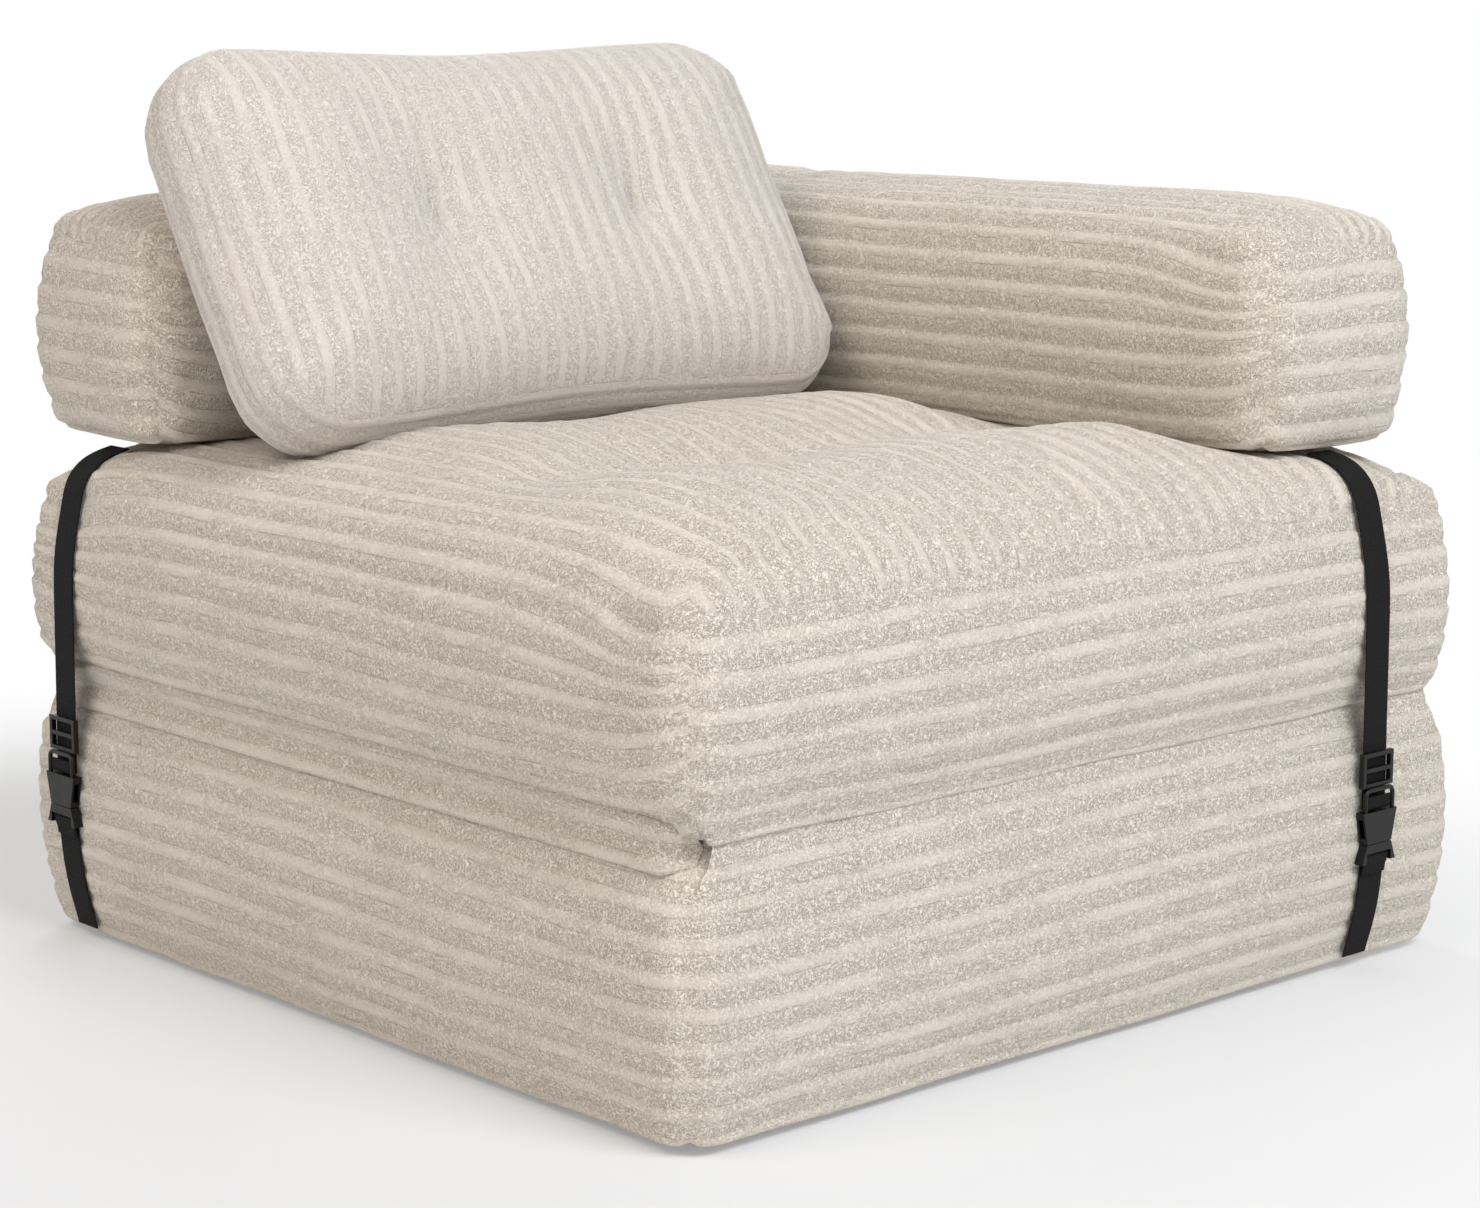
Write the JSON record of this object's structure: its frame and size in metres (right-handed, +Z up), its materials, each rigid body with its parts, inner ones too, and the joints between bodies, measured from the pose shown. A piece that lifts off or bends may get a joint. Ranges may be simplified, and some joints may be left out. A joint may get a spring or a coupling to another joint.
{
  "type": "fold-out foam lounge chair",
  "caption": "Low foam lounge chair: stacked square pads that fold out into a bed, an L-shaped back and arm bolster, a tufted pillow and buckled straps.",
  "frame": {"origin": "on the floor, under the centre of the two pads", "axes": "+Z up, -Y the seat's front edge, -X the folded edge, +X the arm"},
  "size_m": [0.9473, 0.9625, 0.8047],
  "materials": {
    "cover": "ribbed sherpa pile",
    "foam": "open-cell foam",
    "webbing": "woven webbing",
    "buckle": "moulded, satin",
    "zip_tape": "woven zip tape",
    "zip_metal": "die-cast, satin",
    "thread": "knotted thread",
    "underside": "dotted anti-slip cloth"
  },
  "bodies": {
    "seat": {"seat_cover": "cover", "seat_foam_core": "foam", "seat_zip_tape": "zip_tape", "seat_tuft_ties": "thread", "fold_gusset": "cover", "front_upper_webbing": "webbing", "left_upper_webbing": "webbing"},
    "base": {"base_cover": "cover", "base_foam_core": "foam", "base_zip_tape": "zip_tape", "base_bottom_panel": "underside", "front_plug": "buckle", "front_lower_webbing": "webbing", "left_plug": "buckle", "left_lower_webbing": "webbing"},
    "bolster": {"bolster_cover": "cover", "bolster_back_foam": "foam", "bolster_arm_foam": "foam", "bolster_zip_tape": "zip_tape"},
    "pillow": {"pillow_cover": "cover", "pillow_filling": "foam", "pillow_zip_tape": "zip_tape", "pillow_tuft_ties": "thread"},
    "front_socket": {"front_socket": "buckle"},
    "front_adjuster": {"front_adjuster": "buckle"},
    "front_latch_arm_a": {"front_latch_arm_a": "buckle"},
    "front_latch_arm_b": {"front_latch_arm_b": "buckle"},
    "left_socket": {"left_socket": "buckle"},
    "left_adjuster": {"left_adjuster": "buckle"},
    "left_latch_arm_a": {"left_latch_arm_a": "buckle"},
    "left_latch_arm_b": {"left_latch_arm_b": "buckle"},
    "base_zip_slider": {"base_zip_slider": "zip_metal"},
    "base_zip_pull": {"base_zip_pull": "zip_metal"},
    "seat_zip_slider": {"seat_zip_slider": "zip_metal"},
    "seat_zip_pull": {"seat_zip_pull": "zip_metal"},
    "bolster_zip_slider": {"bolster_zip_slider": "zip_metal"},
    "bolster_zip_pull": {"bolster_zip_pull": "zip_metal"},
    "pillow_zip_slider": {"pillow_zip_slider": "zip_metal"},
    "pillow_zip_pull": {"pillow_zip_pull": "zip_metal"}
  },
  "joints": [
    {"name": "base_unfold", "type": "hinge", "parent": "seat", "child": "base", "pos_m": [-0.476, 0, 0.2342], "axis": [0, 1, 0], "range_deg": [0, 180], "deforming": ["fold_gusset", "left_upper_webbing"]},
    {"name": "bolster_lift", "type": "slide", "parent": "seat", "child": "bolster", "axis": [0, 0, 1], "range_m": [0, 0.3]},
    {"name": "pillow_lift", "type": "slide", "parent": "bolster", "child": "pillow", "axis": [0, -0.8572, 0.515], "range_m": [0, 0.25]},
    {"name": "front_socket_release", "type": "slide", "parent": "seat", "child": "front_socket", "axis": [0, 0, 1], "range_m": [0, 0.05], "deforming": ["front_upper_webbing"]},
    {"name": "front_adjuster_slide", "type": "slide", "parent": "front_socket", "child": "front_adjuster", "axis": [0, 0, 1], "range_m": [0, 0.06]},
    {"name": "front_latch_a_squeeze", "type": "hinge", "parent": "base", "child": "front_latch_arm_a", "pos_m": [0.3382, -0.4739, 0.1183], "axis": [0, -1, 0], "range_deg": [0, 7], "stiffness_Nm_per_rad": 0.002},
    {"name": "front_latch_b_squeeze", "type": "hinge", "parent": "base", "child": "front_latch_arm_b", "pos_m": [0.3198, -0.4739, 0.1183], "axis": [0, 1, 0], "range_deg": [0, 7], "stiffness_Nm_per_rad": 0.002},
    {"name": "left_socket_release", "type": "slide", "parent": "base", "child": "left_socket", "axis": [0, 0, 1], "range_m": [0, 0.05], "deforming": ["left_upper_webbing"]},
    {"name": "left_adjuster_slide", "type": "slide", "parent": "left_socket", "child": "left_adjuster", "axis": [0, 0, 1], "range_m": [0, 0.06]},
    {"name": "left_latch_a_squeeze", "type": "hinge", "parent": "base", "child": "left_latch_arm_a", "pos_m": [-0.4739, 0.3678, 0.1283], "axis": [-1, 0, 0], "range_deg": [0, 7], "stiffness_Nm_per_rad": 0.002},
    {"name": "left_latch_b_squeeze", "type": "hinge", "parent": "base", "child": "left_latch_arm_b", "pos_m": [-0.4739, 0.3862, 0.1283], "axis": [1, 0, 0], "range_deg": [0, 7], "stiffness_Nm_per_rad": 0.002},
    {"name": "base_zip_run", "type": "slide", "parent": "base", "child": "base_zip_slider", "axis": [-1, 0, 0], "range_m": [0, 0.67]},
    {"name": "base_zip_pull_swing", "type": "hinge", "parent": "base_zip_slider", "child": "base_zip_pull", "pos_m": [0.335, 0.4741, 0.11775], "axis": [1, 0, 0], "range_deg": [0, 120]},
    {"name": "seat_zip_run", "type": "slide", "parent": "seat", "child": "seat_zip_slider", "axis": [-1, 0, 0], "range_m": [0, 0.67]},
    {"name": "seat_zip_pull_swing", "type": "hinge", "parent": "seat_zip_slider", "child": "seat_zip_pull", "pos_m": [0.335, 0.4741, 0.3282], "axis": [1, 0, 0], "range_deg": [0, 120]},
    {"name": "bolster_zip_run", "type": "slide", "parent": "bolster", "child": "bolster_zip_slider", "axis": [-1, 0, 0], "range_m": [0, 0.67]},
    {"name": "bolster_zip_pull_swing", "type": "hinge", "parent": "bolster_zip_slider", "child": "bolster_zip_pull", "pos_m": [0.335, 0.4821, 0.5544], "axis": [1, 0, 0], "range_deg": [0, 120]},
    {"name": "pillow_zip_run", "type": "slide", "parent": "pillow", "child": "pillow_zip_slider", "axis": [-1, 0, 0], "range_m": [0, 0.452]},
    {"name": "pillow_zip_pull_swing", "type": "hinge", "parent": "pillow_zip_slider", "child": "pillow_zip_pull", "pos_m": [0.1185, 0.20305, 0.52799], "axis": [1, 0, 0], "range_deg": [0, 120]}
  ],
  "couplings": [
    {"joint": "front_latch_b_squeeze", "follows": "front_latch_a_squeeze", "ratio": 1},
    {"joint": "left_latch_b_squeeze", "follows": "left_latch_a_squeeze", "ratio": 1}
  ]
}
